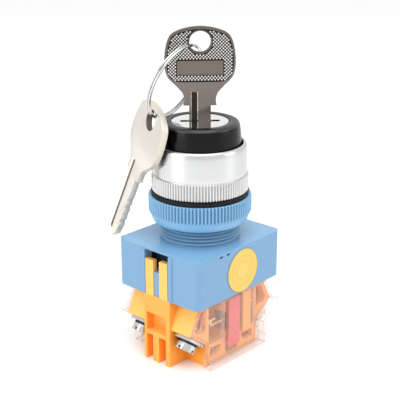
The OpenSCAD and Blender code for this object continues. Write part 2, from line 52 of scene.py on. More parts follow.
SMOOTH = 32       # degrees; edges that turn more than this stay sharp

# ---- levels up the axis, as in the CAD model ----
BLOCK_TOP = 21.4
BASE_TOP = 36.2
NUT_TOP = 49.45
BEZEL_Z = 50.77
NECK_TOP = 57.4
BEZEL_TOP = 65.3
COLLAR_TOP = 71.6
DISC_TOP = 71.4
BOW_HOLE_Z = 94.7
KEY_DIR = math.radians(-45)


# ---------------------------------------------------------------- materials

def nodes_of(name):
    mat = bpy.data.materials.new(name)
    mat.use_nodes = True
    tree = mat.node_tree
    return mat, tree, tree.nodes["Principled BSDF"]


def noise(tree, scale, detail, stretch=(1, 1, 1)):
    """Noise in object space; scale is in features per metre."""
    coord = tree.nodes.new("ShaderNodeTexCoord")
    mapping = tree.nodes.new("ShaderNodeMapping")
    mapping.inputs["Scale"].default_value = stretch
    tex = tree.nodes.new("ShaderNodeTexNoise")
    tex.inputs["Scale"].default_value = scale
    tex.inputs["Detail"].default_value = detail
    tree.links.new(coord.outputs["Object"], mapping.inputs["Vector"])
    tree.links.new(mapping.outputs["Vector"], tex.inputs["Vector"])
    return tex.outputs["Fac"]


def spread(tree, value, low, high):
    """Maps a noise value from 0.3..0.7 to low..high."""
    node = tree.nodes.new("ShaderNodeMapRange")
    for key, number in (("From Min", 0.3), ("From Max", 0.7), ("To Min", low), ("To Max", high)):
        node.inputs[key].default_value = number
    tree.links.new(value, node.inputs["Value"])
    return node.outputs["Result"]


def tint(tree, fac, dark, light):
    mix = tree.nodes.new("ShaderNodeMix")
    mix.data_type = "RGBA"
    mix.inputs["A"].default_value = (*dark, 1)
    mix.inputs["B"].default_value = (*light, 1)
    tree.links.new(fac, mix.inputs["Factor"])
    return mix.outputs["Result"]


def bump(tree, bsdf, height, strength, distance):
    node = tree.nodes.new("ShaderNodeBump")
    node.inputs["Strength"].default_value = strength
    node.inputs["Distance"].default_value = distance * MM
    tree.links.new(height, node.inputs["Height"])
    tree.links.new(node.outputs["Normal"], bsdf.inputs["Normal"])


def finish(name, color, rough, metal=0.0, vary=0.08, grain=900, grain_bump=0.1, stretch=(1, 1, 1),
           rough_vary=0.06, **sockets):
    """A finish with uneven colour, uneven gloss and a fine surface grain."""
    mat, tree, bsdf = nodes_of(name)
    slow = noise(tree, 90, 3)
    dark = tuple(c * (1 - vary) for c in color)
    light = tuple(min(1, c * (1 + vary * 0.6)) for c in color)
    tree.links.new(tint(tree, slow, dark, light), bsdf.inputs["Base Color"])
    fine = noise(tree, grain, 5, stretch)
    tree.links.new(spread(tree, fine, max(0.02, rough - rough_vary), rough + rough_vary),
                   bsdf.inputs["Roughness"])
    bump(tree, bsdf, fine, grain_bump, 0.05)
    bsdf.inputs["Metallic"].default_value = metal
    for key, value in sockets.items():
        bsdf.inputs[key.replace("_", " ")].default_value = value
    return mat


BLUE = finish("blue_plastic", (0.155, 0.32, 0.515), 0.3, vary=0.03, grain=700, grain_bump=0.01,
              rough_vary=0.015, Specular_IOR_Level=0.6)
# painted shade for the base's latch recesses
BLUE_SHADE = finish("blue_recess_shade", (0.02, 0.035, 0.07), 0.5, vary=0.1, grain=1400)
# painted light: the base's flat top in a lighter blue
BLUE_TOP_LIT = finish("blue_top_painted_light", (0.20, 0.41, 0.625), 0.24, vary=0.03, grain=700, grain_bump=0.01,
                  rough_vary=0.015, Specular_IOR_Level=0.6)
# painted highlight: the base's rounded edges in a lighter blue
BLUE_EDGE_HIGHLIGHT = finish("blue_edge_highlight", (0.27, 0.49, 0.69), 0.25, vary=0.03, grain=700, grain_bump=0.01)
NUT_BLUE = finish("nut_plastic", (0.19, 0.40, 0.62), 0.3, vary=0.04, grain=1400, grain_bump=0.02)
# painted shade in the nut's flute valleys and on the neck thread's upper flanks
NUT_ROOT_SHADE = finish("nut_root_shade", (0.12, 0.265, 0.43), 0.4, vary=0.04, grain=1400, grain_bump=0.02)
# painted shade in the neck thread's roots and lower flanks
THREAD_ROOT_SHADE = finish("thread_root_shade", (0.045, 0.12, 0.23), 0.4, vary=0.04, grain=1400)
ORANGE = finish("orange_plastic", (1.0, 0.37, 0.048), 0.24, vary=0.02, grain=1300, grain_bump=0.04,
                rough_vary=0.02, Subsurface_Weight=0.15, Subsurface_Scale=0.002)
# painted light: hooks, roofs and upward faces of the blocks in a lighter orange
ORANGE_LIT = finish("orange_painted_light", (1.0, 0.50, 0.11), 0.24, vary=0.02, grain=1300, grain_bump=0.04,
                      rough_vary=0.02)
# painted highlight: the blocks' rounded edges in a paler orange
ORANGE_EDGE_HIGHLIGHT = finish("orange_edge_highlight", (1.0, 0.60, 0.24), 0.24, vary=0.02, grain=1300)
ORANGE_SHADE = finish("orange_shade", (0.30, 0.085, 0.07), 0.5, vary=0.1, grain=1300)
RED = finish("red_plastic", (0.72, 0.06, 0.085), 0.3, vary=0.04, grain_bump=0.03)
GREEN = finish("green_plastic", (0.09, 0.36, 0.15), 0.35, vary=0.07)
WHITE = finish("white_plastic", (0.78, 0.78, 0.74), 0.4)
BLACK_RUBBER = finish("black_rubber", (0.004, 0.004, 0.005), 0.6, grain=2500, grain_bump=0.2,
                      Specular_IOR_Level=0.25)
COLLAR_BLACK = finish("collar_black", (0.0025, 0.0025, 0.003), 0.24, vary=0.15, grain=3500,
                      grain_bump=0.06, Specular_IOR_Level=0.2)
# the collar's sloped shoulder: glossier, and its lighter colour is a painted highlight
COLLAR_SHOULDER_HIGHLIGHT = finish("collar_shoulder_highlight", (0.02, 0.02, 0.022), 0.22, vary=0.15, grain=3500,
                     grain_bump=0.02, Specular_IOR_Level=0.45)
MARK_BLACK = finish("mark_black", (0.004, 0.004, 0.004), 0.8, Specular_IOR_Level=0.0)
SATIN = finish("satin_aluminium", (0.63, 0.64, 0.635), 0.24, 1.0, vary=0.015, grain=2600,
               grain_bump=0.02, stretch=(1, 1, 0.06), rough_vary=0.02)
# painted shade in the bezel's flute valleys
SATIN_ROOT_SHADE = finish("satin_root_shade", (0.42, 0.42, 0.415), 0.3, 1.0, vary=0.03, grain=2600)
CHROME = finish("polished_chrome", (0.86, 0.86, 0.85), 0.07, 1.0, vary=0.03, grain=1500,
                grain_bump=0.02, rough_vary=0.03)
RING_CHROME = finish("ring_chrome", (0.62, 0.62, 0.61), 0.1, 1.0, vary=0.04, grain=2000,
                     grain_bump=0.05, rough_vary=0.05)
KEY_NICKEL = finish("key_nickel", (0.185, 0.16, 0.142), 0.24, 1.0, vary=0.12, grain=1800,
                    grain_bump=0.1)
# painted shade in the dark key's sunk faces, groove floors and hole
KEY_VALLEY_SHADE = finish("key_valley_shade", (0.04, 0.034, 0.03), 0.5, 1.0, vary=0.2, grain=1800)
# painted shade on the dark key's side edges
KEY_EDGE_SHADE = finish("key_edge_shade", (0.06, 0.05, 0.045), 0.4, 1.0, vary=0.2, grain=1800)
# painted highlight on the dark key's knurl crests and groove flares
KEY_CREST_HIGHLIGHT = finish("key_crest_highlight", (0.80, 0.79, 0.77), 0.2, 1.0, vary=0.1, grain=1800)
KEY_BRIGHT = finish("key_bright", (0.82, 0.77, 0.70), 0.24, 1.0, vary=0.03, grain=1800,
                    grain_bump=0.02, rough_vary=0.02)
# painted shade on the spare key's side edges
BRIGHT_EDGE_SHADE = finish("bright_edge_shade", (0.66, 0.61, 0.53), 0.4, 0.35, vary=0.05, grain=1800)
# painted highlight on the spare key's knurl crests and groove flares
BRIGHT_CREST_HIGHLIGHT = finish("bright_crest_highlight", (0.93, 0.90, 0.85), 0.2, 1.0, vary=0.05, grain=1800)
# painted shade in the spare key's sunk faces, groove floors and hole
BRIGHT_VALLEY_SHADE = finish("bright_valley_shade", (0.22, 0.20, 0.17), 0.5, 1.0, vary=0.1, grain=1800)
ZINC = finish("cast_zinc", (0.42, 0.41, 0.40), 0.45, 1.0, vary=0.1, grain=1200, grain_bump=0.2)
BRASS = finish("brass", (0.72, 0.52, 0.22), 0.3, 1.0, vary=0.1)
DARK_STEEL = finish("dark_steel", (0.05, 0.05, 0.055), 0.3, 1.0, vary=0.2, grain=1500)
SPRING = finish("spring_steel", (0.5, 0.5, 0.51), 0.25, 1.0)
STEEL = finish("plated_steel", (0.60, 0.60, 0.61), 0.14, 1.0, vary=0.08, grain=1500,
               grain_bump=0.05)
SILVER = finish("contact_silver", (0.8, 0.8, 0.78), 0.2, 1.0)


def clear_plastic(name, color, rough, alpha):
    mat, tree, bsdf = nodes_of(name)
    fine = noise(tree, 500, 3)
    tree.links.new(tint(tree, fine, tuple(c * 0.97 for c in color), color),
                   bsdf.inputs["Base Color"])
    bump(tree, bsdf, fine, 0.03, 0.05)
    bsdf.inputs["Roughness"].default_value = rough
    bsdf.inputs["Specular IOR Level"].default_value = 0.6
    bsdf.inputs["Alpha"].default_value = alpha
    return mat


CLEAR = clear_plastic("clear_cover", (1.0, 0.77, 0.66), 0.05, 0.13)
# painted shade: the covers' rounded edges in a darker, denser tint, for the dark outlines refraction
# gives
CLEAR_EDGE_SHADE = clear_plastic("clear_edge_shade", (0.60, 0.44, 0.38), 0.08, 0.5)


LABEL_MIDDLE = (1.0, -16.2, 28.3)
LABEL_REACH = 7.2     # distance from the middle at which the colour ramp ends


def label_print(name):
    """Yellow printed paper with a grey rim and fine rings about the label's middle."""
    mat, tree, bsdf = nodes_of(name)
    coord = tree.nodes.new("ShaderNodeTexCoord")
    move = tree.nodes.new("ShaderNodeMapping")
    move.inputs["Location"].default_value = tuple(-v * MM for v in LABEL_MIDDLE)
    length = tree.nodes.new("ShaderNodeVectorMath")
    length.operation = "LENGTH"
    tree.links.new(coord.outputs["Object"], move.inputs["Vector"])
    tree.links.new(move.outputs["Vector"], length.inputs[0])
    ramp = tree.nodes.new("ShaderNodeValToRGB")
    ramp.color_ramp.interpolation = "LINEAR"
    scale = tree.nodes.new("ShaderNodeMath")
    scale.operation = "MULTIPLY"
    scale.inputs[1].default_value = 1 / (LABEL_REACH * MM)
    tree.links.new(length.outputs["Value"], scale.inputs[0])
    tree.links.new(scale.outputs["Value"], ramp.inputs["Fac"])
    yellow, pale = (0.72, 0.51, 0.10, 1), (0.74, 0.53, 0.12, 1)
    line, rim = (0.67, 0.45, 0.09, 1), (0.22, 0.25, 0.28, 1)
    stops = [(0.0, pale), (0.34, pale), (0.36, line), (0.385, line), (0.40, yellow), (0.62, yellow),
             (0.64, line), (0.66, line), (0.68, yellow), (0.90, yellow), (0.92, line), (0.94, rim)]
    elements = ramp.color_ramp.elements
    while len(elements) < len(stops):
        elements.new(0.5)
    for element, (place, color) in zip(elements, stops):
        element.position = place
        element.color = color
    tree.links.new(ramp.outputs["Color"], bsdf.inputs["Base Color"])
    fine = noise(tree, 2200, 4)
    bump(tree, bsdf, fine, 0.08, 0.03)
    bsdf.inputs["Roughness"].default_value = 0.42
    return mat


LABEL = label_print("label_print")


# ---------------------------------------------------------------- mesh helpers

def settle(mesh, smooth):
    """Merged points, outward normals, and smooth faces with sharp edges past smooth degrees."""
    bm = bmesh.new()
    bm.from_mesh(mesh)
    bmesh.ops.remove_doubles(bm, verts=bm.verts, dist=1e-7)
    bmesh.ops.recalc_face_normals(bm, faces=bm.faces)
    bm.to_mesh(mesh)
    bm.free()
    mesh.shade_smooth()
    mesh.set_sharp_from_angle(angle=math.radians(smooth))


def link(name, mesh, mat, smooth=SMOOTH):
    settle(mesh, smooth)
    mesh.materials.clear()
    mesh.materials.append(mat)
    obj = bpy.data.objects.new(name, mesh)
    scene.collection.objects.link(obj)
    return obj


def build(name, verts, faces, mat, smooth=SMOOTH):
    mesh = bpy.data.meshes.new(name)
    mesh.from_pydata([(x * MM, y * MM, z * MM) for x, y, z in verts], [], faces)
    mesh.validate()
    return link(name, mesh, mat, smooth)


def baked(obj):
    """Applies the object's modifiers and keeps the result as its mesh."""
    graph = bpy.context.evaluated_depsgraph_get()
    mesh = bpy.data.meshes.new_from_object(obj.evaluated_get(graph))
    obj.modifiers.clear()
    obj.data = mesh
    return obj


def bevel(obj, width, segments, material):
    """Rounds the edges that turn more than 28 degrees, in the material slot given (-1: as is)."""
    mod = obj.modifiers.new("edge", "BEVEL")
    mod.width = width * MM
    mod.segments = segments
    mod.limit_method = "ANGLE"
    mod.angle_limit = math.radians(28)
    mod.miter_outer = "MITER_ARC"
    mod.material = material
    baked(obj)


def cut(obj, tool):
    """Takes the tool's shape out of the object and deletes the tool."""
    mod = obj.modifiers.new("cut", "BOOLEAN")
    mod.operation = "DIFFERENCE"
    mod.solver = "EXACT"
    mod.object = tool
    baked(obj)
    bpy.data.objects.remove(tool)


def place(obj, body, node, slot):
    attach(obj, body)
    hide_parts(node)


def refined(name, node, body, mat, width, slot, segments=2, edge=None):
    """The CAD solid as a new piece with rounded edges, which take the edge material (painted highlight
    or shade) if given.
    """
    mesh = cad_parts[node].data.copy()
    mesh.name = name
    bm = bmesh.new()
    bm.from_mesh(mesh)
    bmesh.ops.remove_doubles(bm, verts=bm.verts, dist=2e-7)
    bmesh.ops.dissolve_limit(bm, angle_limit=math.radians(0.4), verts=bm.verts, edges=bm.edges)
    bm.to_mesh(mesh)
    bm.free()
    obj = link(name, mesh, mat)
    if edge:
        mesh.materials.append(edge)
    bevel(obj, width, segments, 1 if edge else -1)
    settle(obj.data, SMOOTH)
    mod = obj.modifiers.new("flat_faces", "WEIGHTED_NORMAL")
    mod.keep_sharp = True
    place(baked(obj), body, node, slot)
    return obj


def lathe(name, profile, mat, count, radius=None, smooth=SMOOTH):
    """Closed profile of (r, z) turned about the axis; radius(r, z, angle) may shape it."""
    verts, faces = [], []
    n = len(profile)
    for k in range(count):
        a = 2 * math.pi * k / count
        for r, z in profile:
            q = radius(r, z, a) if radius else r
            verts.append((q * math.cos(a), q * math.sin(a), z))
    for k in range(count):
        for i in range(n):
            j = (i + 1) % n
            m = (k + 1) % count
            faces.append((k * n + i, m * n + i, m * n + j, k * n + j))
    return build(name, verts, faces, mat, smooth)


def box_mesh(name, low, high, mat):
    (x0, y0, z0), (x1, y1, z1) = low, high
    verts = [(x, y, z) for x in (x0, x1) for y in (y0, y1) for z in (z0, z1)]
    faces = [(0, 1, 3, 2), (4, 6, 7, 5), (0, 4, 5, 1), (2, 3, 7, 6), (0, 2, 6, 4), (1, 5, 7, 3)]
    return build(name, verts, faces, mat)


def prism(name, loop, y0, y1, mat):
    """A closed outline in the XZ plane, drawn out from y0 to y1."""
    n = len(loop)
    verts = [(x, y, z) for y in (y0, y1) for x, z in loop]
    faces = [tuple(range(n)), tuple(range(2 * n - 1, n - 1, -1))]
    faces += [(k, (k + 1) % n, n + (k + 1) % n, n + k) for k in range(n)]
    return build(name, verts, faces, mat)


def circle(r, count):
    turns = [2 * math.pi * k / count for k in range(count)]
    return [(r * math.cos(a), r * math.sin(a)) for a in turns]


def plate(name, outline, hole, thickness, edge, mat):
    """Flat plate in the XZ plane with rounded edges, its thickness centred on Y."""
    curve = bpy.data.curves.new(name, "CURVE")
    curve.dimensions = "2D"
    curve.fill_mode = "BOTH"
    curve.extrude = (thickness / 2 - edge) * MM
    curve.bevel_depth = edge * MM
    curve.bevel_resolution = 1
    curve.offset = -edge * MM
    for loop in (outline, hole):
        spline = curve.splines.new("POLY")
        spline.points.add(len(loop) - 1)
        spline.use_cyclic_u = True
        for point, (x, z) in zip(spline.points, loop):
            point.co = (x * MM, z * MM, 0, 1)
    obj = bpy.data.objects.new(name + "_curve", curve)
    scene.collection.objects.link(obj)
    bpy.context.view_layer.update()
    graph = bpy.context.evaluated_depsgraph_get()
    mesh = bpy.data.meshes.new_from_object(obj.evaluated_get(graph))
    bpy.data.objects.remove(obj)
    mesh.transform(Matrix.Rotation(math.pi / 2, 4, "X"))
    return link(name, mesh, mat)


def joined(name, objects, mat):
    """One mesh made of several closed shells."""
    bm = bmesh.new()
    for obj in objects:
        bm.from_mesh(obj.data)
        bpy.data.objects.remove(obj)
    mesh = bpy.data.meshes.new(name)
    bm.to_mesh(mesh)
    bm.free()
    return link(name, mesh, mat)


# ---------------------------------------------------------------- head

FLUTED_FROM = 12.6    # points nearer the axis than this carry no flutes


def flute(depth, teeth, z_low, z_high, fade):
    """Rounded flutes between two heights, running out over the fade length."""
    def radius(r, z, a):
        edge = min(1, max(0, (z - z_low) / fade), max(0, (z_high - z) / fade))
        if r < FLUTED_FROM or edge <= 0:
            return r
        wave = 0.5 - 0.5 * math.cos(teeth * a)
        return r - depth * edge * wave ** 1.2
    return radius


def shade_roots(obj, mat, crest, low, high, depth):
    """Paints shade on the lower part of the flutes, in the second material."""
    obj.data.materials.append(mat)
    for face in obj.data.polygons:
        x, y, z = (v / MM for v in face.center)
        if low < z < high and FLUTED_FROM + 0.1 < math.hypot(x, y) < crest - depth:
            face.material_index = 1


def make_nut():
    teeth, crest = 90, 15.45
    z0 = NUT_TOP - 7.8
    knurl = z0 + 2.55
    profile = [(12.3, z0 + 0.25), (12.55, z0), (13.9, z0), (14.15, z0 + 0.1), (14.4, z0 + 0.4),
               (14.75, z0 + 1.3), (15.05, z0 + 2.35), (15.2, knurl), (15.38, knurl + 0.15),
               (crest, knurl + 0.5), (crest, NUT_TOP - 0.55), (15.4, NUT_TOP - 0.25),
               (15.2, NUT_TOP), (12.9, NUT_TOP), (12.55, NUT_TOP), (12.3, NUT_TOP - 0.25)]
    obj = lathe("ring_nut_body", profile, NUT_BLUE, teeth * 8,
                flute(0.62, teeth, knurl - 0.1, NUT_TOP + 0.2, 0.3), smooth=60)
    shade_roots(obj, NUT_ROOT_SHADE, crest, knurl + 0.4, NUT_TOP - 0.3, 0.36)
    place(obj, "nut", "ring_nut", "nut_blue")


def make_bezel():
    teeth, crest = 100, 14.45
    skirt = BEZEL_Z + 5.23
    profile = [(12.2, BEZEL_Z + 0.1), (12.4, BEZEL_Z), (14.1, BEZEL_Z), (14.33, BEZEL_Z + 0.12),
               (crest, BEZEL_Z + 0.5), (crest, skirt - 0.25), (14.38, skirt - 0.06),
               (14.22, skirt), (14.12, skirt + 0.02), (14.05, skirt + 0.1), (14.08, skirt + 0.22),
               (14.14, skirt + 0.3), (14.1, skirt + 1.6), (13.98, BEZEL_TOP - 2.2),
               (13.9, BEZEL_TOP - 1.1), (13.78, BEZEL_TOP - 0.62), (13.55, BEZEL_TOP - 0.22),
               (13.28, BEZEL_TOP - 0.04), (13.05, BEZEL_TOP), (12.92, BEZEL_TOP - 0.04),
               (12.8, BEZEL_TOP - 0.2), (12.8, NECK_TOP), (12.2, NECK_TOP)]
    obj = lathe("bezel_body", profile, SATIN, teeth * 8,
                flute(0.34, teeth, BEZEL_Z - 0.2, skirt - 0.02, 0.25), smooth=60)
    shade_roots(obj, SATIN_ROOT_SHADE, crest, BEZEL_Z + 0.3, skirt - 0.3, 0.2)
    place(obj, "frame", "bezel", "bezel_metal")


def make_marks():
    inner, outer, half = 3.5, 5.75, 0.75
    turn = Matrix.Rotation(KEY_DIR, 4, "Z")
    bars = []
    for low, high in ((-outer, -inner), (inner, outer)):
        bar = box_mesh("bar", (low, -half, DISC_TOP - 0.2), (high, half, DISC_TOP + 0.05), MARK_BLACK)
        bar.data.transform(turn)
        bars.append(bar)
    obj = joined("mark_bars", bars, MARK_BLACK)
    place(obj, "rotor", "indicator_marks", "mark_black")


def make_block(side):
    """A contact block's housing: painted highlight on edges, painted light on hooks and roofs, painted
    shade on chamber walls.
    """
    obj = refined(side + "_block_body", side + "_housing", "frame", ORANGE, 0.2, "block_orange",
                  edge=ORANGE_EDGE_HIGHLIGHT)
    obj.data.materials.append(ORANGE_LIT)
    obj.data.materials.append(ORANGE_SHADE)
    edge, light, shade = range(1, 4)
    hooks, chamber = BLOCK_TOP - 1.5, 12.5
    for face in obj.data.polygons:
        x, y, z = (v / MM for v in face.center)
        plain = face.material_index != edge
        inside = abs(x) < chamber and 1 < abs(y) < chamber and z < BLOCK_TOP
        # painted light on the hooks and upward faces; painted shade on the chamber walls below
        if plain and (z > hooks or face.normal.z > 0.35):
            face.material_index = light
        elif plain and inside and abs(face.normal.y) > 0.9:
            face.material_index = shade


def make_base():
    """The base: painted highlight on edges, painted light on the top, painted shade in latch recesses
    and the neck's thread.
    """
    obj = refined("base_body", "base_housing", "frame", BLUE, 0.3, "base_blue", 3, BLUE_EDGE_HIGHLIGHT)
    for mat in (BLUE_SHADE, THREAD_ROOT_SHADE, NUT_ROOT_SHADE, BLUE_TOP_LIT):
        obj.data.materials.append(mat)
    shade, root_shade, flank_shade, top = range(2, 6)
    for face in obj.data.polygons:
        x, y, z = (v / MM for v in face.center)
        r = math.hypot(x, y)
        in_latch = 14.3 < abs(x) < 18.9 and abs(y) < 4.45 and 29.5 < z < 35.8
        in_thread = 36.6 < z < 49 and 11 < r < 12.1
        # painted shade in the latch recesses
        if in_latch:
            face.material_index = shade
        # painted shade in the thread: darkest in roots and lower flanks, the nut's shade colour on the
        # rest
        elif in_thread:
            face.material_index = root_shade if face.normal.z < -0.2 or r < 11.75 else flank_shade
        # painted light on the upward-facing top
        elif abs(z - BASE_TOP) < 0.02 and face.normal.z > 0.9:
            face.material_index = top


def make_collar():
    z0 = NECK_TOP + 2
    profile = [(9.9, z0), (12.45, z0), (12.32, BEZEL_TOP - 0.6), (12.28, BEZEL_TOP + 0.2),
               (12.0, COLLAR_TOP - 3), (11.78, COLLAR_TOP - 1.3), (11.7, COLLAR_TOP - 0.9),
               (11.52, COLLAR_TOP - 0.5), (11.22, COLLAR_TOP - 0.2), (10.85, COLLAR_TOP - 0.05),
               (10.4, COLLAR_TOP), (8.95, COLLAR_TOP), (8.75, COLLAR_TOP - 0.07),
               (8.65, COLLAR_TOP - 0.22), (8.65, DISC_TOP - 1.6), (9.9, DISC_TOP - 1.6)]
    obj = lathe("collar_body", profile, COLLAR_BLACK, 160)
    obj.data.materials.append(COLLAR_SHOULDER_HIGHLIGHT)
    # sloped shoulder faces take the glossier, lighter material: partly a painted highlight
    for face in obj.data.polygons:
        if 0.3 < face.normal.z < 0.97:
            face.material_index = 1
    place(obj, "frame", "lock_collar", "collar_black")


# ---------------------------------------------------------------- keys

# A key is drawn upright: X across it, Y through it, and Z up from the middle of the bow's hole.
BOW_Z = -5            # middle of the bow
BOW_FOOT = -11.6      # lowest point of the sunk, knurled faces
HOLE_R = 3.1
BLADE_HALF = 3.1
BLADE_LEN = 22.4
SHANK_END = 18.5
KEY_T = 2.0
TIP = -BLADE_LEN - SHANK_END
CUTS = (0.35, 0.5, 0.3, 0.55, 0.5)
CUT_PITCH = 2.6
LAST_CUT = -36.6
# distances from the middle of the key's thickness
FLOOR = 0.66          # sunk faces of the bow
FOOT = 0.6            # where knurls and panel start, just below the sunk faces
GROOVE = 0.45         # floor of the front groove
BACK_GROOVE = 0.5     # floor of the back groove
RIM = 0.97            # rim round the hole


def bow_reach(angle, inset=0.0):
    """Distance from the bow's middle to its outline in a direction."""
    dx, dz = math.cos(angle), math.sin(angle)
    reach = 30.0
    for cx, cz, r in ((0, -13.7, 18.0), (-9.75, -5.6, 20.0), (9.75, -5.6, 20.0)):
        ox, oz = -cx, BOW_Z - cz
        b = ox * dx + oz * dz
        reach = min(reach, -b + math.sqrt(b * b - (ox * ox + oz * oz - r * r)))
    for nx, nz, d in ((0.675, -0.737, 14.0), (-0.675, -0.737, 14.0)):
        step = nx * dx + nz * dz
        if step > 0:
            reach = min(reach, (d - nz * BOW_Z) / step)
    return reach - inset


def eased(points, rounds, closed=False):
    """A polyline with its corners eased; the ends of an open one stay put."""
    n = len(points)
    for _ in range(rounds):
        ends = range(n) if closed else range(1, n - 1)
        moved = list(points)
        for k in ends:
            before, here, after = points[k - 1], points[k], points[(k + 1) % n]
            moved[k] = tuple((a + 2 * b + c) / 4 for a, b, c in zip(before, here, after))
        points = moved
    return points


def key_outline():
    """Bow, shoulders and cut blade, from the top round by the right."""
    right = []
    start, stop = math.pi / 2, -math.radians(55)
    for i in range(60):
        a = start + (stop - start) * i / 59
        r = bow_reach(a)
        x, z = r * math.cos(a), BOW_Z + r * math.sin(a)
        if x < 6.3 and z < -12:
            break
        right.append((x, z))
    for i in range(9):
        z = -13.35 + (-SHANK_END + 13.35) * i / 8
        right.append((9.1 - math.sqrt(4.55 ** 2 - (z + 17) ** 2), z))
    right = eased(right[:-6], 14) + right[-6:]
    left = [(-x, z) for x, z in right]
    blade = [(BLADE_HALF, -SHANK_END)]
    for i, depth in enumerate(CUTS):
        z = LAST_CUT + CUT_PITCH * (len(CUTS) - 1 - i)
        slope = min(0.75, depth * 0.6)
        blade += [(BLADE_HALF, z + 0.55 + slope), (BLADE_HALF - depth, z + 0.5),
                  (BLADE_HALF - depth, z - 0.5), (BLADE_HALF, z - 0.55 - slope)]
    blade[-1] = (BLADE_HALF - 0.8, TIP + 2.1)
    blade += [(0.6, TIP), (-0.4, TIP), (-BLADE_HALF, TIP + 1.9), (-BLADE_HALF, -SHANK_END)]
    return right + blade + left[::-1][:-1]


def knurl_area(x, z):
    """Whether a point of the bow carries knurling."""
    above = z - BOW_Z
    if z < BOW_FOOT + 0.3 or x * x + z * z < (HOLE_R + 0.52) ** 2:
        return False
    if -6.95 < x < 6.95 and -9.85 < z < -5.1:
        return False
    return math.hypot(x, above) < bow_reach(math.atan2(above, x), 0.9)


def pyramids(sides):
    """Closed pyramids with flat crests, in a diamond grid on the faces given."""
    verts, faces = [], []
    step, half, crest, top = 0.95, 0.47, 0.29, KEY_T / 2
    for j in range(-26, 10):
        z = j * step / 2
        for i in range(-12, 13):
            x = i * step + (step / 2 if j % 2 else 0)
            if not knurl_area(x, z):
                continue
            for side in sides:
                n = len(verts)
                for reach, y in ((half, FOOT), (crest, top)):
                    verts += [(x - reach, side * y, z), (x, side * y, z - reach),
                              (x + reach, side * y, z), (x, side * y, z + reach)]
                faces += [(n, n + 1, n + 2, n + 3), (n + 7, n + 6, n + 5, n + 4)]
                faces += [(n + k, n + (k + 1) % 4, n + 4 + (k + 1) % 4, n + 4 + k)
                          for k in range(4)]
    return verts, faces


def pocket(side):
    """Cutter that sinks the knurled area into one face of the bow."""
    loop = []
    for k in range(96):
        a = 2 * math.pi * k / 96
        r = bow_reach(a, 0.6)
        x, z = r * math.cos(a), BOW_Z + r * math.sin(a)
        if z < BOW_FOOT:
            x *= (BOW_FOOT - BOW_Z) / (z - BOW_Z)
            z = BOW_FOOT
        loop.append((x, z))
    return prism("pocket", eased(loop, 5, True), side * FLOOR, side * 1.4, KEY_NICKEL)


def hole_rim(sides):
    """Rim round the bow's hole. For two sides both heights come out equal, so it has no depth."""
    back = -RIM * sides[-1] if len(sides) > 1 else 0.0
    rim = prism("rim", circle(3.45, 48), *sorted((RIM * sides[0], back)), KEY_NICKEL)
    cut(rim, prism("rim_hole", circle(3.12, 48), -2, 2, KEY_NICKEL))
    return rim


def panel(side):
    """Blank raised panel in the bow with a thin raised border."""
    parts = []
    x, low, high, w = 6.65, -9.6, -5.4, 0.28
    face, border = 0.82, 0.98

    def slab(x0, x1, z0, z1, top):
        y0, y1 = sorted((FOOT * side, top * side))
        parts.append(box_mesh("panel", (x0, y0, z0), (x1, y1, z1), KEY_NICKEL))

    slab(-x + w, x - w, low + w, high - w, face)
    slab(-x, x, low, low + w, border)
    slab(-x, x, high - w, high, border)
    slab(-x, -x + w, low + w, high - w, border)
    slab(x - w, x, low + w, high - w, border)
    return parts


def flared_groove(x0, x1, low, high):
    """Cutter for the front groove of a blade, flared where it meets the key's face."""
    flare, top = 0.24, 1.02
    verts = []
    for y, out in ((GROOVE, 0), (top - flare, 0), (top, flare), (top + 1, flare)):
        verts += [(x0 - out, -y, low), (x1 + out, -y, low),
                  (x1 + out, -y, high + out), (x0 - out, -y, high + out)]
    faces = [(0, 1, 2, 3), (15, 14, 13, 12)]
    faces += [(n + k, n + (k + 1) % 4, n + 4 + (k + 1) % 4, n + 4 + k)
              for n in (0, 4, 8) for k in range(4)]
    return build("groove", verts, faces, KEY_NICKEL)


def cut_key(name, sides, mat):
    """A key with its grooves, and with a knurled, panelled face on each of the sides given."""
    obj = plate(name, key_outline(), circle(HOLE_R, 64), KEY_T, 0.12, mat)
    parts = []
    for side in sides:
        cut(obj, pocket(side))
        parts += panel(side)
    parts.append(hole_rim(sides))
    low, high = TIP - 0.5, -14.6
    # the back groove is cut first, because that cut fails on the flared one's result
    cut(obj, box_mesh("groove", (-0.6, BACK_GROOVE, low), (1.1, 2, high), mat))
    cut(obj, flared_groove(-2.45, -0.85, low, high))
    verts, faces = pyramids(sides)
    return joined(name, [obj, build("knurl", verts, faces, mat)] + parts, mat)


def make_key(name, mats, sides, matrix, body, node, slot):
    """A key in four materials: its faces, painted shade in valleys, painted highlight on crests,
    painted shade on edges.
    """
    obj = cut_key(name, sides, mats[0])
    for extra in mats[1:]:
        obj.data.materials.append(extra)
    valley_shade, crest, edge = range(1, 4)
    for face in obj.data.polygons:
        x, y, z = (v / MM for v in face.center)
        y = abs(y)
        flat = abs(face.normal.y)
        # painted highlight: the groove's flares and the flat knurl crests take the crest colour
        flare = z < -14 and -3 < x < 1.5 and 0.75 < y < 0.99 and 0.5 < flat < 0.85
        sunk = abs(y - FLOOR) < 0.02 or abs(y - GROOVE) < 0.07
        knurl_top = abs(y - 1) < 0.01 and knurl_area(x, z) and face.area < 0.2 * MM * MM
        if flare:
            face.material_index = crest
        # painted shade on the side edges, and in the bow's hole
        elif flat < 0.85 and not knurl_area(x, z):
            face.material_index = valley_shade if math.hypot(x, z) < HOLE_R + 0.2 else edge
        # painted shade on the sunk faces and groove floors
        elif flat > 0.9 and sunk:
            face.material_index = valley_shade
        elif flat > 0.9 and knurl_top:
            face.material_index = crest
    obj.data.transform(matrix)
    place(obj, body, node, slot)


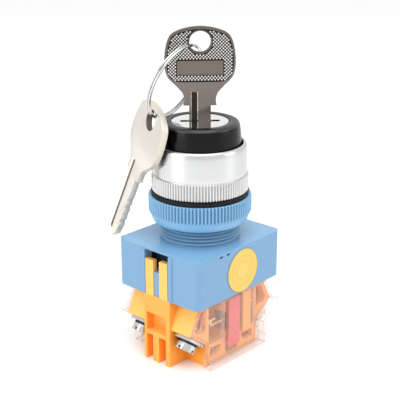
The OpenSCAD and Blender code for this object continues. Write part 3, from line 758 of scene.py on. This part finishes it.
def make_keys():
    """The key in the lock, knurled on both faces, and the spare, knurled on one."""
    dark = (KEY_NICKEL, KEY_VALLEY_SHADE, KEY_CREST_HIGHLIGHT, KEY_EDGE_SHADE)
    main = Matrix.Translation((0, 0, BOW_HOLE_Z * MM)) @ Matrix.Rotation(KEY_DIR, 4, "Z")
    make_key("key_in_lock", dark, (-1, 1), main, "key", "inserted_key", "key_nickel")
    bright = (KEY_BRIGHT, BRIGHT_VALLEY_SHADE, BRIGHT_CREST_HIGHLIGHT, BRIGHT_EDGE_SHADE)
    turn, lean, roll = 157.7 + 90, -12.8, 18
    spare = (Matrix.Translation((-11.47 * MM, 7.66 * MM, (BASE_TOP + 36.18) * MM))
             @ Matrix.Rotation(math.radians(turn), 4, "Z")
             @ Matrix.Rotation(math.radians(lean), 4, "X")
             @ Matrix.Rotation(math.radians(roll), 4, "Y"))
    make_key("key_on_ring", bright, (1,), spare, "spare", "spare_key", "key_bright")


def make_ring():
    """Split ring: a flat wire wound nearly twice, one turn beside the other."""
    in_main, in_spare = Vector((-0.62, 0.82, 93.2)), Vector((-11.72, 7.13, 73.74))
    centre, radius = (in_main + in_spare) / 2, (in_main - in_spare).length / 2
    turn = (Matrix.Rotation(math.radians(97.75), 4, "Z")
            @ Matrix.Rotation(math.radians(90 - 21.7), 4, "Y"))
    section = [(0.44, 0.14), (0.3, 0.27), (-0.3, 0.27), (-0.44, 0.14),
               (-0.44, -0.14), (-0.3, -0.27), (0.3, -0.27), (0.44, -0.14)]
    steps, sweep, start = 300, math.radians(706), math.radians(200)
    cross_from, cross_len, offset = 0.46, 0.08, 0.33
    verts, faces = [], []
    for k in range(steps + 1):
        t = k / steps
        a = start + sweep * t
        shift = min(1, max(0, (t - cross_from) / cross_len))
        axial = offset * (2 * (3 * shift ** 2 - 2 * shift ** 3) - 1)
        for u, v in section:
            p = Vector(((radius + u) * math.cos(a), (radius + u) * math.sin(a), axial + v))
            verts.append(tuple(turn @ p + centre))
    n = len(section)
    for k in range(steps):
        for i in range(n):
            j = (i + 1) % n
            faces.append((k * n + i, k * n + j, (k + 1) * n + j, (k + 1) * n + i))
    faces.append(tuple(range(n)))
    faces.append(tuple(range(steps * n + n - 1, steps * n - 1, -1)))
    obj = build("split_ring", verts, faces, RING_CHROME, smooth=50)
    place(obj, "ring", "key_ring", "ring_chrome")


def make_return_spring(side):
    """A plunger's return spring, a copy of the CAD coil that stays as it is; the real one shortens as
    the plunger comes down.
    """
    node = side + "_return_spring"
    obj = link(side + "_return_coil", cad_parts[node].data.copy(), SPRING, 45)
    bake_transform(obj)
    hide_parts(node)


# ---------------------------------------------------------------- build everything

make_nut()
make_bezel()
make_collar()
make_marks()
make_keys()
make_ring()

SIDES = ("nc", "no")

make_base()
for side in SIDES:
    make_return_spring(side)
refined("face_disc_body", "face_disc", "rotor", CHROME, 0.06, "face_polished")
for side in SIDES:
    make_block(side)
for side in SIDES:
    refined(side + "_cover_body", side + "_cover", "frame", CLEAR, 0.2, "cover_clear", edge=CLEAR_EDGE_SHADE)
refined("nc_plunger_body", "nc_plunger", "nc_slider", RED, 0.12, "plunger_red")
refined("no_plunger_body", "no_plunger", "no_slider", GREEN, 0.12, "plunger_green")
refined("clamp_plate_set", "clamp_plates", "frame", STEEL, 0.12, "steel")
refined("washer_set", "spring_washers", "frame", DARK_STEEL, 0.1, "steel")
refined("screw_set", "terminal_screws", "frame", STEEL, 0.18, "steel")
refined("label_body", "round_label", "frame", LABEL, 0.04, "label_yellow", 1)

# CAD nodes that stay as they are and only take a finish
CAD_FINISH = {
    "gasket": BLACK_RUBBER, "lock_shell": ZINC, "shell_ring": BRASS, "rotor_plug": BRASS,
    "lock_wafers": BRASS, "wafer_springs": SPRING, "cam_drum": WHITE, "cam_washer": STEEL,
    "cam_screw": STEEL, "detent_ball": STEEL, "detent_spring": SPRING,
}
for side in SIDES:
    CAD_FINISH[side + "_bridge"] = BRASS
    CAD_FINISH[side + "_bridge_tips"] = SILVER
    CAD_FINISH[side + "_contact_spring"] = SPRING
    CAD_FINISH[side + "_fixed_contacts"] = BRASS
    CAD_FINISH[side + "_fixed_tips"] = SILVER
for node, mat in CAD_FINISH.items():
    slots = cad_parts[node].data.materials
    slots.clear()
    slots.append(mat)


# ---------------------------------------------------------------- stage, lights, camera

def make_floor():
    size, z = 3000, -0.02
    verts = [(-size, -size, z), (size, -size, z), (size, size, z), (-size, size, z)]
    mat = finish("table", (0.96, 0.96, 0.96), 0.3, vary=0.002, grain=60, grain_bump=0.0,
                 rough_vary=0.01)
    build("table", verts, [(0, 1, 2, 3)], mat)


def area(name, place_mm, aim_mm, size_mm, watts):
    data = bpy.data.lights.new(name, "AREA")
    data.shape = "RECTANGLE"
    data.size, data.size_y = size_mm[0] * MM, size_mm[1] * MM
    data.energy = watts
    obj = bpy.data.objects.new(name, data)
    obj.location = Vector(place_mm) * MM
    back = Vector(place_mm) - Vector(aim_mm)
    obj.rotation_euler = back.to_track_quat("Z", "Y").to_euler()
    scene.collection.objects.link(obj)


def make_camera():
    turn, tilt, distance = math.radians(-48.2), math.radians(19.37), 304.81
    aim = Vector((0, 0, 46.86))
    back = Vector((math.sin(turn) * math.cos(tilt), -math.cos(turn) * math.cos(tilt),
                   math.sin(tilt)))
    data = bpy.data.cameras.new("view")
    data.lens = 91.44
    data.sensor_width = 36
    data.clip_start = 0.01
    obj = bpy.data.objects.new("view", data)
    obj.location = (aim + back * distance) * MM
    obj.rotation_euler = back.to_track_quat("Z", "Y").to_euler()
    scene.collection.objects.link(obj)
    scene.camera = obj


def make_world():
    world = bpy.data.worlds.new("studio")
    world.use_nodes = True
    sky = world.node_tree.nodes["Background"]
    sky.inputs["Color"].default_value = (1, 1, 1, 1)
    sky.inputs["Strength"].default_value = 0.96
    scene.world = world
    scene.view_settings.view_transform = "Standard"


make_floor()
make_world()
area("top", (-100, -150, 500), (0, 0, 40), (500, 500), 1.5)
area("left", (-450, 100, 200), (0, 0, 50), (250, 350), 0.6)
area("right", (250, -450, 220), (0, 0, 50), (250, 350), 0.35)
make_camera()
